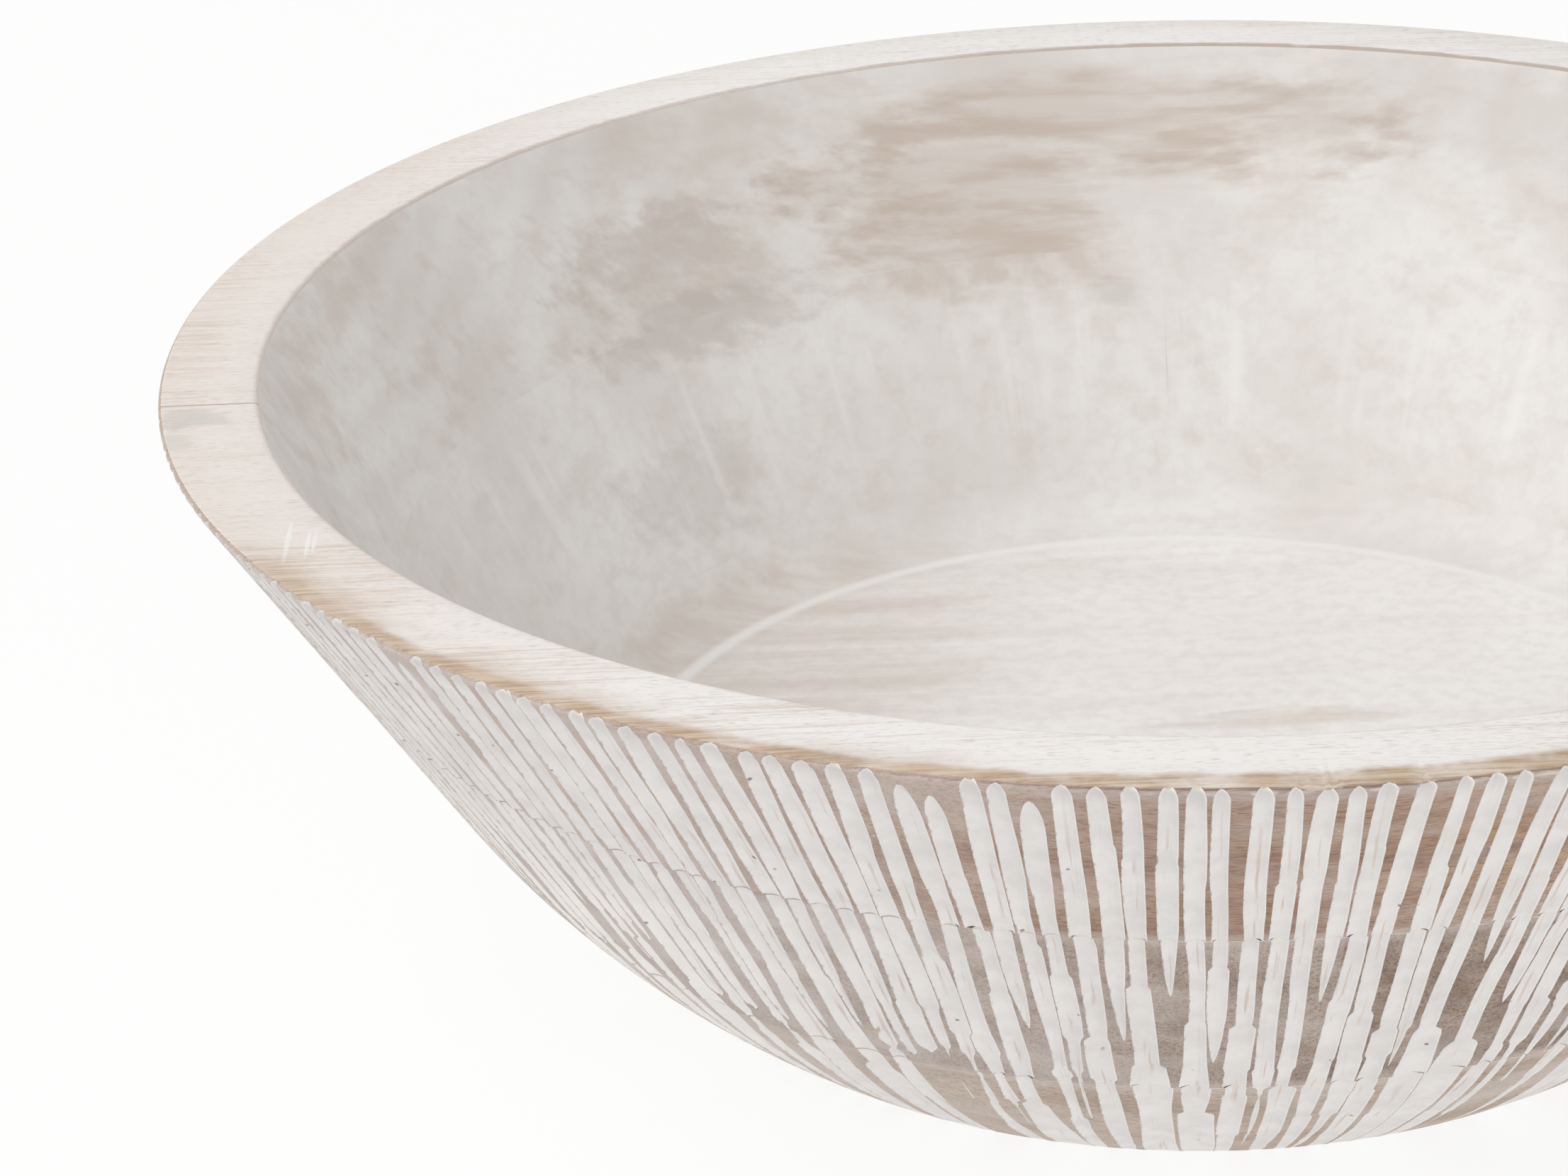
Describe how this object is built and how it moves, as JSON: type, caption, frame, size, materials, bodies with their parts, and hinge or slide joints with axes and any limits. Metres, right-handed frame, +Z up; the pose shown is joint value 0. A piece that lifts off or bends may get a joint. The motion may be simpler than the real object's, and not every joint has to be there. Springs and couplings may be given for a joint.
{
  "type": "dough bowl",
  "caption": "Wide round wooden dough bowl with a flat rim, a leaning wall carved in narrow flutes, a flat floor and a flat foot, turned from crossed layers of glued boards.",
  "frame": {"origin": "centre of the flat foot, on the surface that the bowl stands on", "axes": "+Z up along the turning axis, -Y towards the front, +X to the right seen from the front"},
  "size_m": [0.35, 0.35, 0.107],
  "materials": {
    "upper_layer": "whitewashed and sanded, long grain from side to side",
    "middle_layer": "whitewashed and sanded, long grain from front to back",
    "lower_layer": "whitewashed and sanded, long grain from side to side"
  },
  "bodies": {
    "root": {"upper_front_board": "upper_layer", "upper_back_board": "upper_layer", "middle_left_board": "middle_layer", "middle_right_board": "middle_layer", "lower_front_board": "lower_layer", "lower_back_board": "lower_layer"}
  },
  "joints": []
}
